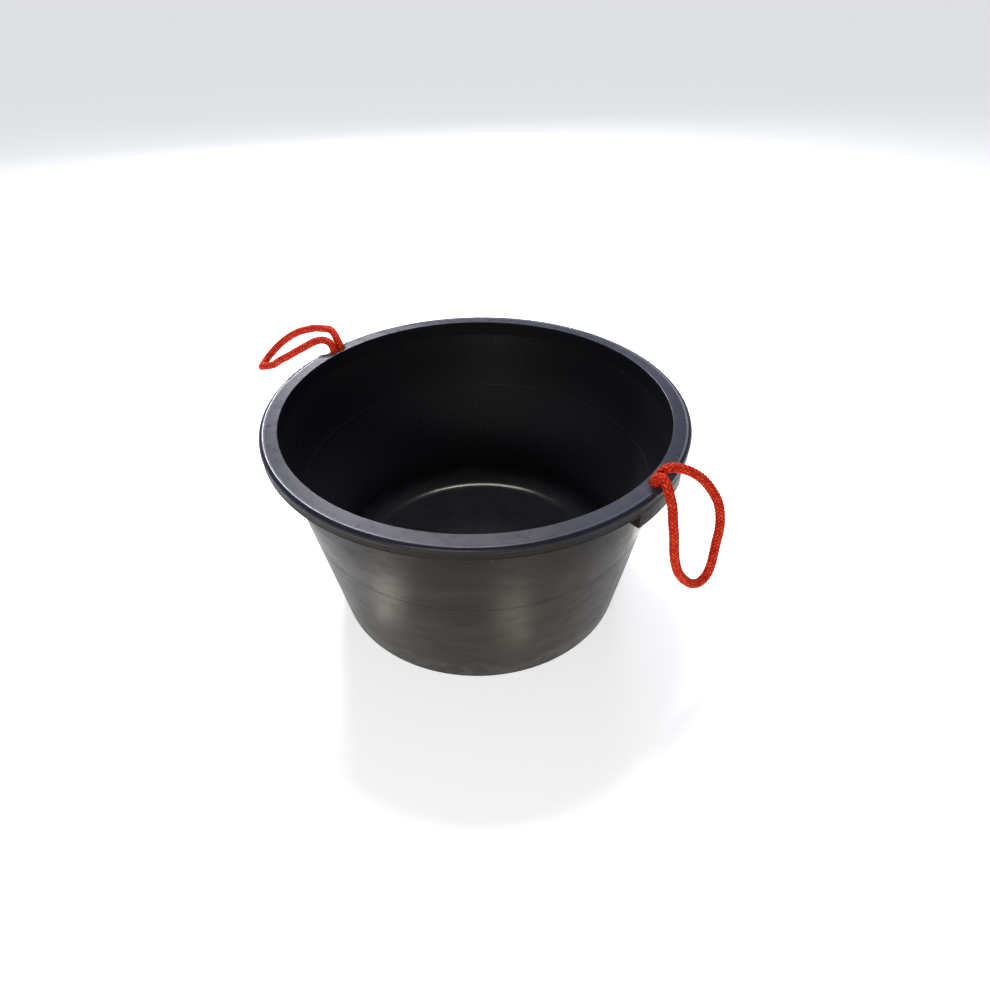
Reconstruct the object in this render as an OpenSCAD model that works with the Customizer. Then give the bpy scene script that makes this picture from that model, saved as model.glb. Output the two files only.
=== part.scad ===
// Round mortar mixing tub: one plastic moulding with a rope handle on each side.
// The origin is the centre of the underside, +Z is up, and the two handles lie on +X and -X.
// "Front" is the -Y side of a handle and "rear" is its +Y side.

/* [Tub] */
// Outside diameter over the rim
rim_diameter = 620; // [610:5:630]
// Height from the ground to the top of the rim
tub_height = 330; // [320:5:340]
// Outside diameter of the wall at the ground
base_diameter = 472; // [466:2:478]
// Thickness of the wall, measured level
wall_thickness = 3.6; // [3:0.2:4.4]
// Height of the inside floor above the ground
floor_height = 12; // [10:1:14]
// Thickness of the floor
floor_thickness = 4; // [3:0.5:5]
// Radius of the curve between the floor and the wall, inside
floor_radius = 40; // [30:2:44]
// Depth of the level line below the rim, inside
level_depth = 118; // [90:2:160]

/* [Rim] */
// Width of the rim from the inner edge to the outer edge
rim_width = 26.3; // [25:0.1:27]
// Height of the skirt that hangs from the rim's outer edge
skirt_height = 20; // [17:1:22]
// Thickness of the rim and its skirt
rim_thickness = 3.5; // [3:0.1:4]

/* [Handle pocket] */
// Height from the top of the rim to the bottom of the pocket
pocket_height = 41; // [39:1:44]
// Half of the angle that a pocket covers, in degrees
pocket_half_angle = 10.5; // [9:0.5:12]
// Depth of the rope saddle at the rim's outer edge
saddle_depth = 7; // [5:0.5:8]
// Width of the rope slot through the rim
slot_width = 15; // [14:0.5:15.5]

/* [Rope] */
// Diameter of the rope
rope_diameter = 13; // [11:0.5:13]
// Number of sides of the rope tubes
rope_sides = 12; // [8:1:16]

/* [Hidden] */

plastic = [0.12, 0.12, 0.13];
rope_red = [0.86, 0.22, 0.10];

rim_radius = rim_diameter / 2;
base_radius = base_diameter / 2;
top = tub_height;

// the wall leans outward from the ground up to the foot of the skirt
overhang = 22;
wall_slope = (rim_radius - overhang - base_radius) / (top - skirt_height);
mouth_radius = rim_radius - rim_width;

// how far a cutting shape reaches past what it cuts
past = 5;

// rim profile
rim_fall = 1.2;
web_under = top - rim_fall - rim_thickness;
web_corner = 3;
bead_radius = 5.5;
bead_proud = 0.6;
bead_centre = [rim_radius - bead_radius, top - rim_fall + bead_proud - bead_radius];
skirt_radius = rim_radius - 1;
skirt_inside = skirt_radius - rim_thickness;
skirt_shoulder = 2;
lip_radius = 1.9;
lip_proud = 0.4;
fall_end = bead_centre[0] - 3;
edge_radius = 1.4;

// floor
foot_width = 6;
centre_radius = 98;
centre_rise = 1.5;
centre_step = 2;
fine_line_radius = 1.3;
level_line_sunk = 0.9;
outer_line_sunk = 1.05;
outer_line_depth = 152;

// pocket
cheek_angle = 0.7;
pocket_high = top - 12;
cheek_high = top - 6;
roof_depth = 9;
roof_high = top - 3;
saddle_radius = 120;
saddle_run = 20;
saddle_start = rim_radius - saddle_run;
saddle_tilt = atan(saddle_depth / saddle_run);
saddle_length = 90;
saddle_middle = -3;
slot_out = rim_radius - 14.5;
slot_low = top - 14;

// where the two strands of a handle pass through the slot, along Y
strand_y = [-11, 5];

// knots: two flattened stopper knots side by side in each pocket
knot_width = 31;
knot_height = 24;
knot_depth = 15.6;
knot_crown = 4;
knot_flat = 2;
knot_top = top - 11.5;
knot_out = rim_radius - 13;
knot_turn = 3.3;
tail_end = top - 40.5;
tail_turn = 4.3;
leg_top = top + 3;
leg_sunk = 5;

// The loops' centrelines from one crest over the rim to the other.
// Each point is [beyond the rim's outer edge, along Y, above the rim's top].
right_route = [
    [-2, -15, 13], [6, -20, 9], [13, -23, -2], [20, -26, -15], [25, -29, -32], [31, -31, -52],
    [35, -31, -75], [39, -28, -96], [43, -21, -116], [49, -10, -134], [56, 4, -149],
    [62, 19, -155], [65, 33, -150], [65, 42, -135], [63, 47, -117], [62, 49, -98], [61, 51, -78],
    [57, 52, -58], [51, 51, -40], [42, 46, -23], [31, 40, -8], [19, 30, 5], [8, 19, 13],
    [-2, 11, 16]
];
left_route = [
    [-2, 8, 13], [7, 11, 19], [19, 13, 21], [33, 13, 18], [48, 13, 15], [63, 12, 11], [78, 10, 5],
    [93, 8, -1], [108, 6, -9], [121, 3, -17], [134, -2, -27], [147, -9, -39], [160, -25, -58],
    [160, -33, -63], [156, -42, -66], [150, -49, -65], [143, -54, -61], [133, -56, -56],
    [123, -54, -53], [113, -48, -50], [100, -44, -40], [82, -39, -29], [64, -34, -17],
    [47, -29, -6], [32, -23, 4], [18, -18, 12], [7, -13, 15], [-2, -9, 13]
];

// radius of the wall's outside and inside at a height
function outside(z) = base_radius + wall_slope * z;
function inside(z) = outside(z) - wall_thickness;

// ---- profiles, drawn in the plane of radius and height ----

// centre of the curve between floor and wall: it touches the floor and the leaning wall
lean = atan(wall_slope);
curve_centre = [
    inside(floor_height) - floor_radius * tan((90 - lean) / 2),
    floor_height + floor_radius
];

module cavity_profile() {
    knee = (mouth_radius - inside(0)) / wall_slope;
    difference() {
        polygon([
            [0, floor_height + centre_rise], [centre_radius, floor_height + centre_rise],
            [centre_radius + centre_step, floor_height], [inside(floor_height), floor_height],
            [mouth_radius, knee], [mouth_radius, top + past], [0, top + past]
        ]);
        // the corner outside the curve stays solid
        difference() {
            polygon([
                [curve_centre[0], floor_height - 1],
                [inside(floor_height) + past, floor_height - 1],
                curve_centre + (floor_radius + past) * [cos(lean), -sin(lean)], curve_centre
            ]);
            translate(curve_centre) circle(r = floor_radius, $fn = 120);
        }
        // raised level line
        translate([inside(top - level_depth) + level_line_sunk, top - level_depth])
            circle(r = fine_line_radius, $fn = 32);
    }
}

module underside_profile() {
    low = floor_height - floor_thickness;
    foot_inside = base_radius - foot_width;
    hollow_high = floor_height + 18;
    difference() {
        polygon([
            [0, -1], [foot_inside, -1], [foot_inside, hollow_high], [curve_centre[0], hollow_high],
            [curve_centre[0], low], [centre_radius + centre_step, low],
            [centre_radius, low + centre_rise], [0, low + centre_rise]
        ]);
        translate(curve_centre) circle(r = floor_radius + floor_thickness, $fn = 120);
    }
}

module body_profile() {
    wall_high = top - 2;
    difference() {
        union() {
            polygon([[0, 0], [base_radius, 0], [outside(wall_high), wall_high], [0, wall_high]]);
            translate([outside(top - outer_line_depth) - outer_line_sunk, top - outer_line_depth])
                circle(r = fine_line_radius, $fn = 32);
        }
        cavity_profile();
        underside_profile();
    }
}

module rim_profile() {
    skirt_low = top - skirt_height + lip_radius;
    difference() {
        union() {
            polygon([
                [mouth_radius, web_under], [mouth_radius, top], [fall_end, top - rim_fall],
                [bead_centre[0], top - rim_fall], [bead_centre[0], web_under]
            ]);
            // rounded outer edge, a little proud of the flat top
            translate(bead_centre) circle(r = bead_radius, $fn = 48);
            polygon([
                [skirt_inside, skirt_low], [skirt_inside, web_under],
                [skirt_radius, web_under - skirt_shoulder], [skirt_radius, skirt_low]
            ]);
            // thicker lip along the bottom of the skirt
            translate([skirt_radius + lip_proud - lip_radius, skirt_low])
                circle(r = lip_radius, $fn = 32);
        }
        // the hollow behind the skirt
        polygon([
            [mouth_radius, top - skirt_height], [skirt_inside, top - skirt_height],
            [skirt_inside, web_under - web_corner], [skirt_inside - web_corner, web_under],
            [mouth_radius, web_under]
        ]);
        // rounded inner edge
        difference() {
            translate([mouth_radius - past, top - edge_radius]) square(edge_radius + past);
            translate([mouth_radius + edge_radius, top - edge_radius])
                circle(r = edge_radius, $fn = 32);
            translate([mouth_radius + edge_radius, top - 2 * edge_radius])
                square(2 * edge_radius + past);
        }
    }
}

// ---- handle pocket ----

// part of a ring centred on the +X side, from a list of profile points
module ring_part(points, from, to) {
    rotate_extrude(angle = to - from, start = from, $fn = 180) polygon(points);
}

module pocket_walls() {
    low = top - pocket_height;
    into_wall = wall_thickness / 2;
    into_skirt = 1;
    ring_part([
        [skirt_inside, low], [skirt_radius, low], [skirt_radius, pocket_high],
        [skirt_inside, pocket_high]
    ], -pocket_half_angle, pocket_half_angle);
    for (from = [-pocket_half_angle, pocket_half_angle - cheek_angle])
        ring_part([
            [outside(low) - into_wall, low], [skirt_radius, low], [skirt_radius, cheek_high],
            [outside(cheek_high) - into_wall, cheek_high]
        ], from, from + cheek_angle);
    ring_part([
        [outside(top - roof_depth) - into_wall, top - roof_depth],
        [skirt_inside + into_skirt, top - roof_depth], [skirt_inside + into_skirt, roof_high],
        [outside(roof_high) - into_wall, roof_high]
    ], -pocket_half_angle, pocket_half_angle);
}

module pocket_cuts() {
    // shallow saddle that lets the rope run out over the rim
    translate([saddle_start, saddle_middle, top]) rotate([0, saddle_tilt, 0])
        translate([0, 0, saddle_radius]) rotate([0, 90, 0])
            cylinder(r = saddle_radius, h = saddle_length, center = true, $fn = 240);
    // one slot for both strands of the rope
    translate([slot_out, 0, slot_low]) linear_extrude(top + past - slot_low) {
        for (y = strand_y) translate([0, y]) circle(d = slot_width, $fn = 64);
        translate([-slot_width / 2, strand_y[0]]) square([slot_width, strand_y[1] - strand_y[0]]);
    }
}

module tub_shell() {
    color(plastic) difference() {
        union() {
            rotate_extrude($fn = 180) union() {
                body_profile();
                rim_profile();
            }
            for (side = [0, 1]) mirror([side, 0, 0]) pocket_walls();
        }
        for (side = [0, 1]) mirror([side, 0, 0]) pocket_cuts();
    }
}

// ---- rope ----

// direction across the rope at its start
first_side = [0, 1, 0.2];

function unit(v) = v / norm(v);
function heading(p, i) = unit(p[min(i + 1, len(p) - 1)] - p[max(i - 1, 0)]);
function across(v, t) = unit(v - (v * t) * t);
// one direction across the rope for each point, carried along without twist
function carried(p, i = 0, found = []) =
    i == len(p) ? found
    : let (last = i == 0 ? first_side : found[i - 1])
      carried(p, i + 1, concat(found, [across(last, heading(p, i))]));

// round tube along a list of points
module tube(p, d) {
    n = rope_sides;
    side_dirs = carried(p);
    points = [
        for (i = [0 : len(p) - 1])
            let (t = heading(p, i), u = side_dirs[i], v = cross(t, u))
                for (k = [0 : n - 1])
                    p[i] + d / 2 * (cos(360 * k / n) * u + sin(360 * k / n) * v)
    ];
    last = (len(p) - 1) * n;
    faces = concat(
        [[for (k = [0 : n - 1]) k]],
        [
            for (i = [0 : len(p) - 2], k = [0 : n - 1])
                let (a = i * n + k, b = i * n + (k + 1) % n) each [[a, a + n, b], [b, a + n, b + n]]
        ],
        [[for (k = [n - 1 : -1 : 0]) last + k]]
    );
    polyhedron(points, faces);
}

// side is 1 for the right handle and -1 for the left handle
module rope_loop(side, route) {
    color(rope_red)
        tube([for (q = route) [side * (rim_radius + q[0]), q[1], top + q[2]]], rope_diameter);
}

// the straight stretch through the slot; along is -1 for the front strand and 1 for the rear one
module rope_leg(side, along) {
    bottom = knot_top - leg_sunk;
    color(rope_red) translate([side * slot_out, strand_y[along < 0 ? 0 : 1], bottom])
        cylinder(d = rope_diameter, h = leg_top - bottom, $fn = 48);
}

// outline of a knot, seen from outside the tub
module knot_outline() {
    r = knot_height / 2 - knot_flat;
    for (y = [-1, 1], z = [-1, 1])
        translate([y * (knot_width / 2 - r), z * (knot_height / 2 - r)]) circle(r = r, $fn = 48);
    square([knot_width, knot_height - 2 * r], center = true);
    square([knot_width - 2 * r, knot_height], center = true);
}

// stopper knot pressed flat between the pocket's walls, with the rope's short end below it
module rope_knot(side, along) {
    middle = knot_top - knot_height / 2;
    color(rope_red) mirror([side < 0 ? 1 : 0, 0, 0]) {
        rotate([0, 0, along * knot_turn]) translate([knot_out, 0, middle]) intersection() {
            rotate([90, 0, 90]) linear_extrude(knot_depth, center = true) knot_outline();
            rotate([90, 0, 0])
                cylinder(r = norm([knot_height / 2, knot_crown]), h = 2 * knot_width, center = true,
                    $fn = 96);
        }
        rotate([0, 0, along * tail_turn]) translate([knot_out, 0, tail_end])
            cylinder(d = rope_diameter, h = middle - tail_end, $fn = 48);
    }
}

module right_rope_loop() { rope_loop(1, right_route); }
module right_front_leg() { rope_leg(1, -1); }
module right_rear_leg() { rope_leg(1, 1); }
module right_front_knot() { rope_knot(1, -1); }
module right_rear_knot() { rope_knot(1, 1); }
module left_rope_loop() { rope_loop(-1, left_route); }
module left_front_leg() { rope_leg(-1, -1); }
module left_rear_leg() { rope_leg(-1, 1); }
module left_front_knot() { rope_knot(-1, -1); }
module left_rear_knot() { rope_knot(-1, 1); }

tub_shell();
right_rope_loop();
right_front_leg();
right_rear_leg();
right_front_knot();
right_rear_knot();
left_rope_loop();
left_front_leg();
left_rear_leg();
left_front_knot();
left_rear_knot();
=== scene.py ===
"""Looks of a round mortar mixing tub with two rope handles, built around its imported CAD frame.

All lengths are metres in the CAD frame: the origin is the centre of the underside, +Z is up,
and the two rope handles lie on +X and -X. "Front" is -Y and "rear" is +Y.
"""

import math

import bpy
import numpy as np
from mathutils import Matrix, Vector


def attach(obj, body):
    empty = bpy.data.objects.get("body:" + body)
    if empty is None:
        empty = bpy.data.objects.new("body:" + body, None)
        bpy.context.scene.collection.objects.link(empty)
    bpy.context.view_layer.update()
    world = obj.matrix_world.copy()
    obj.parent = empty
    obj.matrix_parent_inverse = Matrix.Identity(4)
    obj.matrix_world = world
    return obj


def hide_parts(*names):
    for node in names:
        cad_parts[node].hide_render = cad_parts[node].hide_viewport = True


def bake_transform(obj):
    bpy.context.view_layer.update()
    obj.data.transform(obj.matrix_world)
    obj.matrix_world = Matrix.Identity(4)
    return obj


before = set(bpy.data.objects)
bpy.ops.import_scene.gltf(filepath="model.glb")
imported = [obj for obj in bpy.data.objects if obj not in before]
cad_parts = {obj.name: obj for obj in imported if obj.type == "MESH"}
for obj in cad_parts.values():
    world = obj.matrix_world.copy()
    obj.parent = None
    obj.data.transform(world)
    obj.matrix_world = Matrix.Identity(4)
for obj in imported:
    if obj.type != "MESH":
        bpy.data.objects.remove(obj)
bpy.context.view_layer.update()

MM = 0.001

# ---- sizes repeated from the CAD source ----

RIM_RADIUS = 0.310
TOP = 0.330
BASE_RADIUS = 0.236
WALL_SLOPE = 52 / 310
WALL = 0.0036
SLOT_OUT = 0.2955
STRAND_Y = {-1: -0.011, 1: 0.005}   # where the front and rear strands pass the rim
ROPE_RADIUS = 0.0065
KNOT_OUT = 0.297
KNOT_MIDDLE = 0.3065
KNOT_TURN = math.radians(3.3)
TAIL_TURN = math.radians(4.3)
TAIL_END = 0.2900

LEG_BEND_FROM = {1: 0.004, -1: -0.006}   # where a strand starts to bend, from the rim's top
LEG_ROUNDNESS = 0.30                      # pull of that bend, as a share of its straight length
SMOOTHING = 0.004                         # length over which a route's small kinks are evened out
KNOT_STRAND_RADIUS = 0.0044               # the knots are pulled tight, so their rope is thinner

# Centrelines of the two loops from one crest over the rim to the other, in millimetres:
# [beyond the rim's outer edge, along Y, above the rim's top].
RIGHT_ROUTE = [
    [-2, -15, 13], [6, -20, 9], [13, -23, -2], [20, -26, -15], [25, -29, -32], [31, -31, -52],
    [35, -31, -75], [39, -28, -96], [43, -21, -116], [49, -10, -134], [56, 4, -149],
    [62, 19, -155], [65, 33, -150], [65, 42, -135], [63, 47, -117], [62, 49, -98],
    [61, 51, -78], [57, 52, -58], [51, 51, -40], [42, 46, -23], [31, 40, -8], [19, 30, 5],
    [8, 19, 13], [-2, 11, 16],
]
LEFT_ROUTE = [
    [-2, 8, 13], [7, 11, 19], [19, 13, 21], [33, 13, 18], [48, 13, 15], [63, 12, 11],
    [78, 10, 5], [93, 8, -1], [108, 6, -9], [121, 3, -17], [134, -2, -27], [147, -9, -39],
    [160, -25, -58], [160, -33, -63], [156, -42, -66], [150, -49, -65], [143, -54, -61],
    [133, -56, -56], [123, -54, -53], [113, -48, -50], [100, -44, -40], [82, -39, -29],
    [64, -34, -17], [47, -29, -6], [32, -23, 4], [18, -18, 12], [7, -13, 15], [-2, -9, 13],
]


# ---- lines and tubes ----

def spline(points, per_span=24):
    """A smooth dense line through given points (Catmull-Rom, spaced by distance)."""
    p = np.array(points, float)
    p = np.vstack([2 * p[0] - p[1], p, 2 * p[-1] - p[-2]])
    knots = np.r_[0, np.cumsum(np.sqrt(np.linalg.norm(np.diff(p, axis=0), axis=1)))]
    line = []
    for i in range(1, len(p) - 2):
        t0, t1, t2, t3 = knots[i - 1:i + 3]
        for t in np.linspace(t1, t2, per_span, endpoint=False):
            a1 = ((t1 - t) * p[i - 1] + (t - t0) * p[i]) / (t1 - t0)
            a2 = ((t2 - t) * p[i] + (t - t1) * p[i + 1]) / (t2 - t1)
            a3 = ((t3 - t) * p[i + 1] + (t - t2) * p[i + 2]) / (t3 - t2)
            b1 = ((t2 - t) * a1 + (t - t0) * a2) / (t2 - t0)
            b2 = ((t3 - t) * a2 + (t - t1) * a3) / (t3 - t1)
            line.append(((t2 - t) * b1 + (t - t1) * b2) / (t2 - t1))
    return np.array(line + [p[-2]])


def evenly(line, step):
    """The same line with points about one step apart."""
    far = np.r_[0, np.cumsum(np.linalg.norm(np.diff(line, axis=0), axis=1))]
    at = np.linspace(0, far[-1], max(3, int(round(far[-1] / step)) + 1))
    return np.stack([np.interp(at, far, line[:, k]) for k in range(3)], axis=1)


def relaxed(line, reach, step):
    """An even line with the small kinks of its rounded points smoothed out, ends kept."""
    size = int(round(3 * reach / step))
    weights = np.exp(-0.5 * (np.arange(-size, size + 1) * step / reach) ** 2)
    weights /= weights.sum()
    before = 2 * line[0] - line[size:0:-1]
    after = 2 * line[-1] - line[-2:-size - 2:-1]
    long = np.vstack([before, line, after])
    out = np.stack([np.convolve(long[:, k], weights, "valid") for k in range(3)], axis=1)
    out[0], out[-1] = line[0], line[-1]
    return out


def carried_frames(line, first):
    """Tangents and two directions across the line, carried along without twist."""
    tangent = np.gradient(line, axis=0)
    tangent /= np.linalg.norm(tangent, axis=1)[:, None]
    across = np.zeros_like(line)
    last = np.array(first, float)
    for i, t in enumerate(tangent):
        last = last - (last @ t) * t
        last /= np.linalg.norm(last)
        across[i] = last
    return tangent, across, np.cross(tangent, across)


# ---- braid ----

STRANDS = 8            # strands that run each way round the rope
BRAID_LAY = 0.0455     # length of rope in which a strand goes once round
RING_STEP = 0.00065    # distance between the mesh's rings
AROUND = 96            # points in a ring
STRAND_HEIGHT = 0.19   # height of a strand, as a share of the rope's radius


def braid_height(a, b):
    """Height of the braid's surface, from 0 in a crease to 1 on a strand. Every strand goes
    over two and under two, so that the strands' tops read as rows of short slanted grains."""
    turn = np.mod(np.floor(a) + np.floor(b), 4)
    fa, fb = a - np.floor(a), b - np.floor(b)
    one_way = turn < 2
    across = np.where(one_way, fa, fb)
    along = np.where(one_way, turn + fb, turn - 2 + fa) / 2
    dome = np.sin(np.pi * across) ** 0.62
    length = np.sin(np.pi * along) ** 0.42
    return dome * length


def braided_tube(name, line, radius, first=(0, 1, 0.2), closed_ends=True):
    """A rope along a line, with its braid modelled in the mesh."""
    _, u, v = carried_frames(line, first)
    far = np.r_[0, np.cumsum(np.linalg.norm(np.diff(line, axis=0), axis=1))]
    radii = np.broadcast_to(radius, far.shape)
    turn = np.arange(AROUND) / AROUND
    scale = float(np.mean(radii)) / ROPE_RADIUS
    steps = far * STRANDS / (BRAID_LAY * scale)
    a = turn[None, :] * STRANDS + steps[:, None]
    b = turn[None, :] * STRANDS - steps[:, None]
    height = braid_height(a, b)
    end = np.clip(np.minimum(far, far[-1] - far) / (0.6 * ROPE_RADIUS), 0, 1)
    rounded = np.sqrt(1 - (1 - end) ** 2) if closed_ends else np.ones_like(end)
    low = 1.02 - STRAND_HEIGHT
    reach = radii[:, None] * (low + STRAND_HEIGHT * height) * np.maximum(rounded, 0.05)[:, None]
    angle = 2 * np.pi * turn
    points = (
        line[:, None, :]
        + reach[..., None] * (np.cos(angle)[None, :, None] * u[:, None, :]
                              + np.sin(angle)[None, :, None] * v[:, None, :])
    )
    rings = len(line)
    i, k = np.meshgrid(np.arange(rings - 1), np.arange(AROUND), indexing="ij")
    nxt = (k + 1) % AROUND
    quads = np.stack([i * AROUND + k, i * AROUND + nxt, (i + 1) * AROUND + nxt,
                      (i + 1) * AROUND + k], axis=-1).reshape(-1, 4)
    faces = quads.tolist()
    faces.append(list(range(AROUND - 1, -1, -1)))
    faces.append([(rings - 1) * AROUND + j for j in range(AROUND)])
    mesh = bpy.data.meshes.new(name)
    mesh.from_pydata(points.reshape(-1, 3).tolist(), [], faces)
    mesh.polygons.foreach_set("use_smooth", [True] * len(faces))
    cavity = mesh.attributes.new("cavity", "FLOAT", "POINT")
    cavity.data.foreach_set("value", height.reshape(-1).astype(np.float32))
    # braid coordinates, as a UV layer so that they close cleanly round the rope
    layer = mesh.uv_layers.new(name="braid")
    ring = np.stack([i, i, i + 1, i + 1], axis=-1).reshape(-1, 4)
    across = np.stack([k, k + 1, k + 1, k], axis=-1).reshape(-1, 4)
    uv = np.stack([across * STRANDS / AROUND, steps[ring]], axis=-1).reshape(-1, 2)
    uv = np.vstack([uv, np.zeros((2 * AROUND, 2))])
    layer.data.foreach_set("uv", uv.astype(np.float32).reshape(-1))
    mesh.update()
    tube = bpy.data.objects.new(name, mesh)
    bpy.context.scene.collection.objects.link(tube)
    return tube


# ---- shader helpers ----

class Nodes:
    """Short calls for building one material's node tree."""

    def __init__(self, name):
        self.material = bpy.data.materials.new(name)
        self.material.use_nodes = True
        self.tree = self.material.node_tree
        self.tree.nodes.clear()
        self.shader = self.add("ShaderNodeBsdfPrincipled")
        out = self.add("ShaderNodeOutputMaterial")
        self.tree.links.new(self.shader.outputs[0], out.inputs["Surface"])

    def add(self, kind, **settings):
        node = self.tree.nodes.new(kind)
        for key, value in settings.items():
            setattr(node, key, value)
        return node

    def put(self, socket, value):
        if isinstance(value, bpy.types.NodeSocket):
            self.tree.links.new(value, socket)
        elif value is not None:
            socket.default_value = value

    def math(self, operation, a, b=None, c=None, clamp=False):
        node = self.add("ShaderNodeMath", operation=operation, use_clamp=clamp)
        for socket, value in zip(node.inputs, (a, b, c)):
            self.put(socket, value)
        return node.outputs[0]

    def ramp(self, value, low, high, to_low=0.0, to_high=1.0):
        """Smooth step from to_low at low to to_high at high."""
        node = self.add("ShaderNodeMapRange", interpolation_type="SMOOTHSTEP")
        for key, x in zip(("Value", "From Min", "From Max", "To Min", "To Max"),
                          (value, low, high, to_low, to_high)):
            self.put(node.inputs[key], x)
        return node.outputs[0]

    def place(self, scale=(1, 1, 1)):
        """Position in the CAD frame, in metres times scale."""
        if not hasattr(self, "position"):
            self.position = self.add("ShaderNodeTexCoord").outputs["Object"]
        node = self.add("ShaderNodeMapping")
        self.put(node.inputs["Vector"], self.position)
        node.inputs["Scale"].default_value = scale
        return node.outputs[0]

    def noise(self, scale, detail=3.0, rough=0.5, stretch=(1, 1, 1), warp=0.0):
        node = self.add("ShaderNodeTexNoise")
        self.put(node.inputs["Vector"], self.place(stretch))
        node.inputs["Scale"].default_value = scale
        node.inputs["Detail"].default_value = detail
        node.inputs["Roughness"].default_value = rough
        node.inputs["Distortion"].default_value = warp
        return node.outputs["Fac"]

    def specks(self, scale, size, share, stretch=(1, 1, 1)):
        """Small round specks, in a share of cells of 1/scale metres."""
        node = self.add("ShaderNodeTexVoronoi")
        self.put(node.inputs["Vector"], self.place(stretch))
        node.inputs["Scale"].default_value = scale
        near = self.ramp(node.outputs["Distance"], size * 0.5, size, 1.0, 0.0)
        pick = self.add("ShaderNodeSeparateColor")
        self.put(pick.inputs[0], node.outputs["Color"])
        return self.math("MULTIPLY", near, self.math("LESS_THAN", pick.outputs[0], share))

    def mix(self, factor, a, b):
        node = self.add("ShaderNodeMix", data_type="RGBA")
        self.put(node.inputs[0], factor)
        for socket, value in ((node.inputs[6], a), (node.inputs[7], b)):
            self.put(socket, (*value, 1) if isinstance(value, tuple) else value)
        return node.outputs[2]

    def bump(self, height, distance, strength=1.0, normal=None):
        node = self.add("ShaderNodeBump")
        self.put(node.inputs["Height"], height)
        node.inputs["Distance"].default_value = distance
        node.inputs["Strength"].default_value = strength
        self.put(node.inputs["Normal"], normal)
        return node.outputs[0]

    def finish(self, **sockets):
        for key, value in sockets.items():
            self.put(self.shader.inputs[key.replace("_", " ").title().replace("Ior", "IOR")], value)
        return self.material


# ---- rope material ----

ROPE_RED = (0.60, 0.016, 0.003)
ROPE_LIGHT = (0.90, 0.085, 0.018)
# colour of the painted shade in the braid's creases
ROPE_CREASE_SHADE = (0.09, 0.002, 0.0010)


def rope_material():
    n = Nodes("rope")
    braid = n.add("ShaderNodeUVMap", uv_map="braid").outputs[0]
    split = n.add("ShaderNodeSeparateXYZ")
    n.put(split.inputs[0], braid)
    u, v = split.outputs[0], split.outputs[1]
    a, b = n.math("ADD", u, v), n.math("SUBTRACT", u, v)
    cell_a, cell_b = n.math("FLOOR", a), n.math("FLOOR", b)
    turn = n.math("FLOORED_MODULO", n.math("ADD", cell_a, cell_b), 4.0)
    one_way = n.math("LESS_THAN", turn, 1.5)
    other = n.math("SUBTRACT", 1.0, one_way)
    share = lambda x, y: n.math("ADD", n.math("MULTIPLY", x, one_way), n.math("MULTIPLY", y, other))
    across = share(n.math("FRACT", a), n.math("FRACT", b))
    along = share(b, a)
    strand = share(n.math("FLOORED_MODULO", cell_a, 8.0),
                   n.math("ADD", n.math("FLOORED_MODULO", cell_b, 8.0), 8.0))
    # a few twisted yarns in each strand
    skewed = n.math("ADD", across, n.math("MULTIPLY", along, 0.12))
    yarns = n.math("SINE", n.math("MULTIPLY", skewed, 2 * math.pi * 4))
    fibres = n.add("ShaderNodeTexNoise", noise_dimensions="3D")
    where = n.add("ShaderNodeCombineXYZ")
    for socket, value in zip(where.inputs, (n.math("MULTIPLY", across, 26.0),
                                            n.math("MULTIPLY", along, 1.6), strand)):
        n.put(socket, value)
    n.put(fibres.inputs["Vector"], where.outputs[0])
    fibres.inputs["Scale"].default_value = 1.0
    fibres.inputs["Detail"].default_value = 3.0
    tone = n.add("ShaderNodeTexWhiteNoise", noise_dimensions="1D")
    n.put(tone.inputs["W"], strand)
    cavity = n.add("ShaderNodeAttribute", attribute_name="cavity").outputs["Fac"]
    patches = n.noise(60.0, 2.0)
    light = n.math("ADD", n.math("MULTIPLY", fibres.outputs["Fac"], 0.55),
                   n.math("MULTIPLY", tone.outputs["Value"], 0.22))
    light = n.math("ADD", light, n.math("MULTIPLY", patches, 0.25))
    light = n.ramp(light, 0.42, 0.72)
    colour = n.mix(light, ROPE_RED, ROPE_LIGHT)
    # painted shade: the braid's creases are darkened, standing in for the shade between the strands
    crease_shade = n.ramp(cavity, 0.15, 0.82, 1.0, 0.0)
    colour = n.mix(n.math("MULTIPLY", crease_shade, 0.85), colour, ROPE_CREASE_SHADE)
    grime = n.ramp(n.noise(34.0, 4.0, 0.6), 0.60, 0.78)
    colour = n.mix(n.math("MULTIPLY", grime, 0.18), colour, (0.16, 0.05, 0.03))
    normal = n.bump(fibres.outputs["Fac"], 0.00022, 0.8)
    normal = n.bump(yarns, 0.00008, 0.7, normal)
    return n.finish(
        base_color=colour, normal=normal, specular_ior_level=0.10,
        roughness=n.ramp(fibres.outputs["Fac"], 0.3, 0.7, 0.50, 0.72),
    )


# ---- tub material ----

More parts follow.
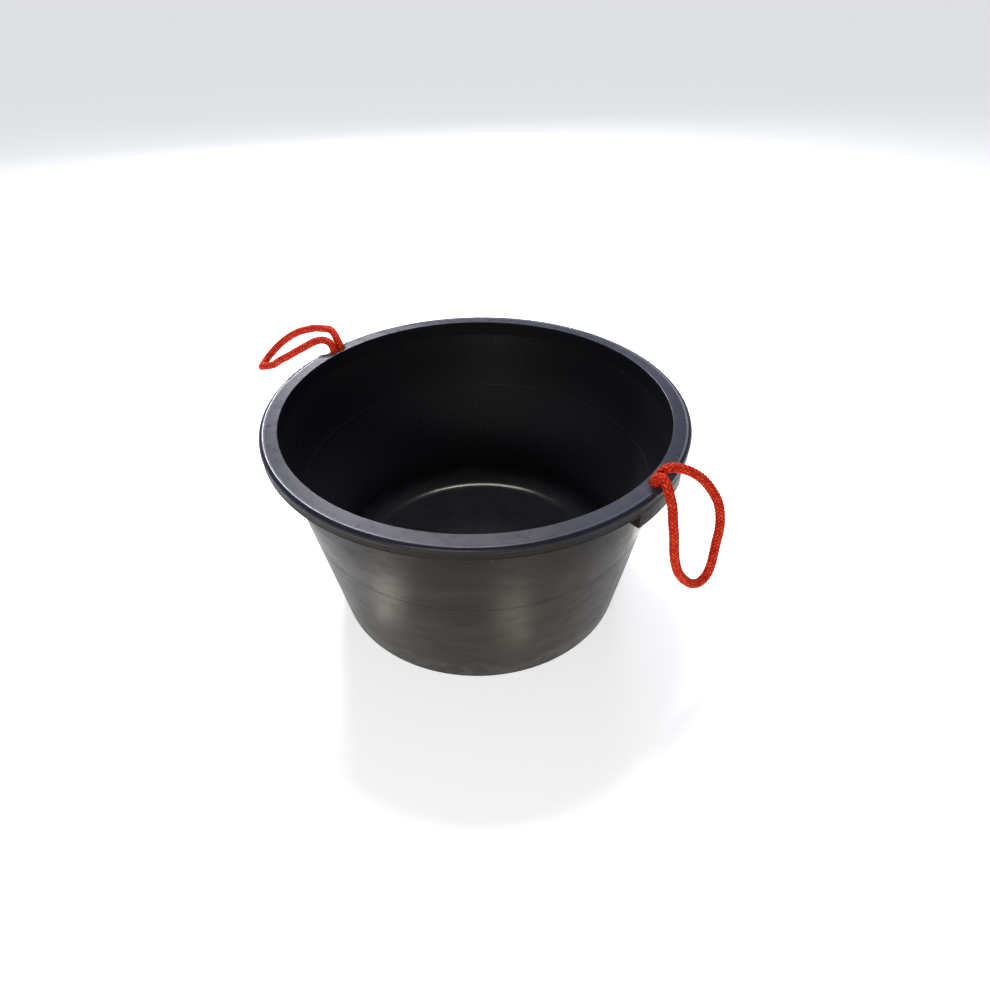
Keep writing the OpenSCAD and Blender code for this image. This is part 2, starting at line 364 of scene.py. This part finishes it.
def tub_material():
    n = Nodes("tub_plastic")
    at = n.add("ShaderNodeSeparateXYZ")
    n.put(at.inputs[0], n.place())
    x, y, z = at.outputs
    r = n.math("SQRT", n.math("ADD", n.math("MULTIPLY", x, x), n.math("MULTIPLY", y, y)))
    wall = n.math("MULTIPLY_ADD", z, WALL_SLOPE, BASE_RADIUS - WALL / 2)
    # 1 on the surfaces inside the tub, 0 outside
    from_wall = n.math("SUBTRACT", wall, r)
    inside = n.math("MULTIPLY", n.ramp(from_wall, -0.0004, 0.0004), n.ramp(z, 0.0095, 0.0105))
    rim = n.math("MULTIPLY", n.ramp(z, 0.3235, 0.3265), n.ramp(r, 0.2830, 0.2845))
    inside = n.math("MULTIPLY", inside, n.math("SUBTRACT", 1.0, rim))
    outside = n.math("SUBTRACT", n.math("SUBTRACT", 1.0, inside), rim, clamp=True)

    # colour: black with a thin grey-brown film of dust outside and a bluer black inside
    film = n.ramp(n.noise(9.0, 5.0, 0.6, (1, 1, 2.2), 0.6), 0.36, 0.70)
    scuffed = n.ramp(n.noise(22.0, 6.0, 0.7, (0.5, 0.5, 6.0), 0.3), 0.42, 0.74)
    colour_out = n.mix(film, (0.0066, 0.0055, 0.0042), (0.0180, 0.0145, 0.0102))
    colour_out = n.mix(n.math("MULTIPLY", scuffed, 0.30), colour_out, (0.028, 0.024, 0.018))
    # painted shade: the outer wall is darkened to near black in a band under the rim, standing in
    # for the shade of the rim's overhang
    under_rim_shade = n.ramp(z, 0.19, 0.30)
    colour_out = n.mix(n.math("MULTIPLY", under_rim_shade, 0.85), colour_out, (0.0030, 0.0028, 0.0027))
    mottle = n.ramp(n.noise(38.0, 5.0, 0.65, (1, 1, 0.5), 0.4), 0.36, 0.72)
    colour_in = n.mix(mottle, (0.0150, 0.0155, 0.0182), (0.0195, 0.0201, 0.0238))
    colour_in = n.mix(n.ramp(z, 0.04, 0.10), colour_in, (0.0340, 0.0350, 0.0400))
    colour_in = n.mix(n.ramp(z, 0.12, 0.27), colour_in, (0.0085, 0.0088, 0.0105))
    # painted reflection tint: the rim top is bluer than the wall to stand in for the sky's
    # reflection; the film's random variation on it is the plastic's own tone
    colour_rim = n.mix(film, (0.0095, 0.0110, 0.0200), (0.0150, 0.0170, 0.0290))
    colour = n.mix(inside, colour_out, colour_in)
    colour = n.mix(rim, colour, colour_rim)
    dust = n.math("MAXIMUM", n.specks(120.0, 0.10, 0.045), n.specks(310.0, 0.16, 0.03))
    colour = n.mix(n.math("MULTIPLY", dust, 0.75), colour, (0.20, 0.20, 0.21))
    # bare edges are rubbed a little lighter
    worn = n.ramp(n.add("ShaderNodeNewGeometry").outputs["Pointiness"], 0.515, 0.56)
    worn = n.math("MULTIPLY", worn, n.ramp(n.noise(55.0, 4.0, 0.6), 0.35, 0.65))
    colour = n.mix(n.math("MULTIPLY", worn, 0.35), colour, (0.085, 0.085, 0.090))

    # gloss
    streaks = n.noise(40.0, 5.0, 0.62, (0.6, 0.6, 2.0), 0.2)
    drawn = n.noise(46.0, 4.0, 0.6, (2.2, 2.2, 0.25), 0.1)
    # the same under-rim band also makes the outer wall rougher
    rough_out = n.math("MULTIPLY_ADD", under_rim_shade, 0.16, n.ramp(streaks, 0.30, 0.72, 0.34, 0.44))
    rough_in = n.math("MULTIPLY_ADD", n.ramp(z, 0.030, 0.060), 0.10,
                      n.ramp(drawn, 0.30, 0.72, 0.17, 0.21))
    rough_rim = n.ramp(n.noise(70.0, 4.0, 0.6), 0.30, 0.70, 0.26, 0.36)
    share = lambda p, q: n.math("MULTIPLY", p, q)
    rough = n.math("ADD", n.math("ADD", share(rough_out, outside), share(rough_in, inside)),
                   share(rough_rim, rim))
    rough = n.math("ADD", rough, n.math("MULTIPLY", dust, 0.3), clamp=True)

    # flow lines that run out from the moulding gate in the middle of the floor
    bearing = n.math("ARCTAN2", y, x)
    spokes = n.add("ShaderNodeTexNoise")
    spread = n.add("ShaderNodeCombineXYZ")
    for socket, value in zip(spread.inputs, (n.math("SINE", bearing), n.math("COSINE", bearing),
                                             n.math("MULTIPLY", r, 5.0))):
        n.put(socket, value)
    n.put(spokes.inputs["Vector"], spread.outputs[0])
    spokes.inputs["Scale"].default_value = 9.0
    spokes.inputs["Detail"].default_value = 4.0
    flow = share(spokes.outputs["Fac"], n.ramp(r, 0.06, 0.14, 1.0, 0.0))
    colour = n.mix(n.math("MULTIPLY", share(flow, inside), 0.9), colour, (0.042, 0.041, 0.050))

    # surface: orange peel everywhere, shallow waves and fine level scratches outside
    peel = n.noise(620.0, 3.0, 0.6)
    waves = n.noise(26.0, 2.0, 0.45, (1, 1, 0.8), 0.3)
    scratches = n.noise(90.0, 6.0, 0.75, (0.22, 0.22, 16.0), 0.15)
    normal = n.bump(waves, 0.00022, 0.5)
    normal = n.bump(share(scratches, outside), 0.00012, 0.5, normal)
    normal = n.bump(share(drawn, inside), 0.00006, 0.5, normal)
    normal = n.bump(share(flow, inside), 0.00018, 0.6, normal)
    normal = n.bump(peel, 0.00006, 0.6, normal)
    return n.finish(base_color=colour, roughness=rough, normal=normal, specular_ior_level=0.22,
                    specular_tint=(1.0, 0.92, 0.80, 1))


# ---- ropes and knots ----

def rope_line(side, route):
    """Centreline of a handle's rope, from one strand in the slot to the other."""
    def leg(crest, after):
        """Up through the slot and round in one bend to the crest over the rim."""
        y = STRAND_Y[-1 if crest[1] < 0 else 1]
        foot = np.array([SLOT_OUT, y, TOP + LEG_BEND_FROM[side]])
        crest, after = np.array(crest), np.array(after)
        back = (crest - after) / np.linalg.norm(crest - after)
        reach = LEG_ROUNDNESS * np.linalg.norm(crest - foot)
        pull = np.array([foot, foot + [0, 0, reach], crest + reach * back, crest])
        bend = []
        for t in (0.0, 0.25, 0.5, 0.75):
            share = np.array([(1 - t)**3, 3 * t * (1 - t)**2, 3 * t**2 * (1 - t), t**3])
            bend.append((share @ pull).tolist())
        return [[SLOT_OUT, y, TOP - 14.0 * MM], [SLOT_OUT, y, TOP - 10.0 * MM]] + bend
    loop = [[RIM_RADIUS + q[0] * MM, q[1] * MM, TOP + q[2] * MM] for q in route]
    points = leg(loop[0], loop[1]) + loop + leg(loop[-1], loop[-2])[::-1]
    points = [[side * p[0], p[1], p[2]] for p in points]
    line = evenly(spline(points), RING_STEP)
    line = relaxed(line, SMOOTHING, RING_STEP)
    return evenly(line, RING_STEP)


def knot_line(side, along):
    """An overhand knot pressed flat in the pocket, from the rope above to its short end below."""
    knot = []
    for t in np.linspace(-2.0, 2.0, 21):
        across = 3.6 * (t**4 - 4 * t**2) + 4.6
        up = -3.7 * (t**3 - 3 * t)
        crease_shade = 3.2 * (t**5 - 10 * t) / 9.5
        knot.append([crease_shade, across, up])
    knot = np.array(knot) * MM
    # inward is towards the middle of the pocket
    x = KNOT_OUT + knot[:, 0]
    y = -knot[:, 1]
    z = KNOT_MIDDLE + knot[:, 2]
    turn = KNOT_TURN
    px = x * math.cos(turn) - y * math.sin(turn)
    py = x * math.sin(turn) + y * math.cos(turn)
    body = np.stack([px, py, z], axis=1)
    strand = along * STRAND_Y[along]
    start = [[SLOT_OUT, strand, TOP - 11.0 * MM], [SLOT_OUT, strand, TOP - 13.5 * MM]]
    tail_x, tail_y = KNOT_OUT * math.cos(TAIL_TURN), KNOT_OUT * math.sin(TAIL_TURN)
    end = [[tail_x, tail_y - 3 * MM, TAIL_END + 5 * MM], [tail_x, tail_y, TAIL_END]]
    points = np.vstack([start, body, end])
    points[:, 1] *= along
    points[:, 0] *= side
    return evenly(spline(points, 12), RING_STEP)


def build_handle(side, side_name, route, material):
    names = {-1: "front", 1: "rear"}
    for along, end in names.items():
        knot = braided_tube(f"{side_name}_{end}_stopper_knot", knot_line(side, along),
                            KNOT_STRAND_RADIUS, (0, 1, 0.01))
        knot.data.materials.append(material)
        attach(knot, "tub")
        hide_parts(f"{side_name}_{end}_knot")
    line = rope_line(side, route)
    rope = braided_tube(f"{side_name}_rope", line, ROPE_RADIUS, closed_ends=False)
    rope.data.materials.append(material)
    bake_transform(rope)
    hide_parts(f"{side_name}_rope_loop", f"{side_name}_front_leg", f"{side_name}_rear_leg")
    length = float(np.linalg.norm(np.diff(line, axis=0), axis=1).sum())
    print(f"{side_name} rope length {length:.4f}")


# ---- camera, floor and lights ----

CAMERA_PLACE = (0.54998, -0.66154, 0.84848)
CAMERA_TARGET = (0.02112, 0.01647, 0.15898)
CAMERA_ROLL = -0.426   # degrees
CAMERA_LENS = 24.645   # millimetres, on a sensor 36 mm wide

FLOOR_GLOW = 0.55      # keeps the plain floor evenly pale out to the horizon
FLOOR_RADIUS = 60.0
FLOOR_SIDES = 96

SKY_COLOUR = (0.88, 0.93, 1.0, 1)
# height of a direction and strength of the sky there, low and high
SKY_LOW, SKY_HIGH = (0.10, 0.48), (0.42, 0.20)

# name, place, target, width and height, power, colour
SOFTBOXES = [
    ("back_left", (-2.08, 1.35, 1.98), (0, 0, 0.3), (0.5, 0.5), 76, (0.88, 0.90, 1.0)),
    ("back", (-1.50, 1.80, 2.25), (0, 0, 0.3), (2.5, 1.3), 62, (0.78, 0.80, 1.0)),
    ("overhead", (-0.45, 0.52, 2.3), (-0.1, 0.1, 0), (0.62, 0.20), 29, (0.97, 0.98, 1.0)),
    ("key", (1.2, -2.6, 1.15), (0, 0, 0.25), (1.7, 0.7), 40, (1.0, 0.97, 0.93)),
]

# strips on the floor that mirror as soft upright bands in the wall:
# name, inner end, outer end, width and power
FLOOR_STRIPS = [
    ("strip_left", (0.00, -0.30), (-0.05, -0.42), 0.08, 0.09),
    ("strip_front", (0.23, -0.18), (0.37, -0.245), 0.08, 0.07),
    ("strip_right", (0.30, 0.22), (0.36, 0.62), 0.12, 0.55),
]
STRIP_HEIGHT = 0.002
STRIP_COLOUR = (1.0, 0.95, 0.87)

def look_at(obj, place, target, roll=0.0):
    obj.location = place
    turn = (Vector(target) - Vector(place)).to_track_quat("-Z", "Y").to_matrix().to_4x4()
    obj.matrix_world = Matrix.Translation(place) @ turn @ Matrix.Rotation(roll, 4, "Z")


def build_camera():
    data = bpy.data.cameras.new("camera")
    data.sensor_width = 36.0
    data.lens = CAMERA_LENS
    data.clip_start, data.clip_end = 0.01, 200.0
    camera = bpy.data.objects.new("camera", data)
    bpy.context.scene.collection.objects.link(camera)
    look_at(camera, CAMERA_PLACE, CAMERA_TARGET, math.radians(CAMERA_ROLL))
    bpy.context.scene.camera = camera


def build_floor():
    n = Nodes("floor")
    tone = n.ramp(n.noise(1.3, 3.0), 0.3, 0.7)
    n.finish(base_color=n.mix(tone, (0.90, 0.90, 0.90), (0.92, 0.92, 0.92)), roughness=0.9,
             specular_ior_level=0.2, emission_color=(1.0, 1.0, 1.0, 1),
             emission_strength=FLOOR_GLOW)
    bearings = [2 * math.pi * k / FLOOR_SIDES for k in range(FLOOR_SIDES)]
    rim = [(FLOOR_RADIUS * math.cos(b), FLOOR_RADIUS * math.sin(b), 0) for b in bearings]
    mesh = bpy.data.meshes.new("floor")
    mesh.from_pydata(rim, [], [list(range(FLOOR_SIDES))])
    mesh.materials.append(n.material)
    floor = bpy.data.objects.new("floor", mesh)
    bpy.context.scene.collection.objects.link(floor)


def area_light(name, size, watts, colour):
    data = bpy.data.lights.new(name, "AREA")
    data.shape = "RECTANGLE"
    data.size, data.size_y = size
    data.energy = watts
    data.color = colour
    light = bpy.data.objects.new(name, data)
    bpy.context.scene.collection.objects.link(light)
    return light


def build_sky():
    world = bpy.data.worlds.new("studio")
    world.use_nodes = True
    tree = world.node_tree
    background = tree.nodes["Background"]
    background.inputs["Color"].default_value = SKY_COLOUR
    sky = tree.nodes.new("ShaderNodeTexCoord")
    split = tree.nodes.new("ShaderNodeSeparateXYZ")
    fade = tree.nodes.new("ShaderNodeMapRange")
    fade.interpolation_type = "SMOOTHSTEP"
    for key, value in zip(("From Min", "To Min", "From Max", "To Max"), SKY_LOW + SKY_HIGH):
        fade.inputs[key].default_value = value
    tree.links.new(sky.outputs["Generated"], split.inputs[0])
    tree.links.new(split.outputs["Z"], fade.inputs["Value"])
    tree.links.new(fade.outputs[0], background.inputs["Strength"])
    bpy.context.scene.world = world


def build_light():
    build_sky()
    for name, place, target, size, watts, colour in SOFTBOXES:
        look_at(area_light(name, size, watts, colour), place, target)
    for name, near, far, width, watts in FLOOR_STRIPS:
        light = area_light(name, (math.dist(near, far), width), watts, STRIP_COLOUR)
        middle = [(a + b) / 2 for a, b in zip(near, far)]
        light.location = (*middle, STRIP_HEIGHT)
        bearing = -math.atan2(near[1] - far[1], far[0] - near[0])
        light.rotation_euler = (math.pi, 0, bearing)


# ---- build ----

bpy.context.scene.view_settings.view_transform = "Standard"
build_camera()
rope_look = rope_material()
build_handle(1, "right", RIGHT_ROUTE, rope_look)
build_handle(-1, "left", LEFT_ROUTE, rope_look)

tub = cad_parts["tub_shell"]
tub_look = tub_material()
tub.data.materials.clear()
tub.data.materials.append(tub_look)

build_floor()
build_light()
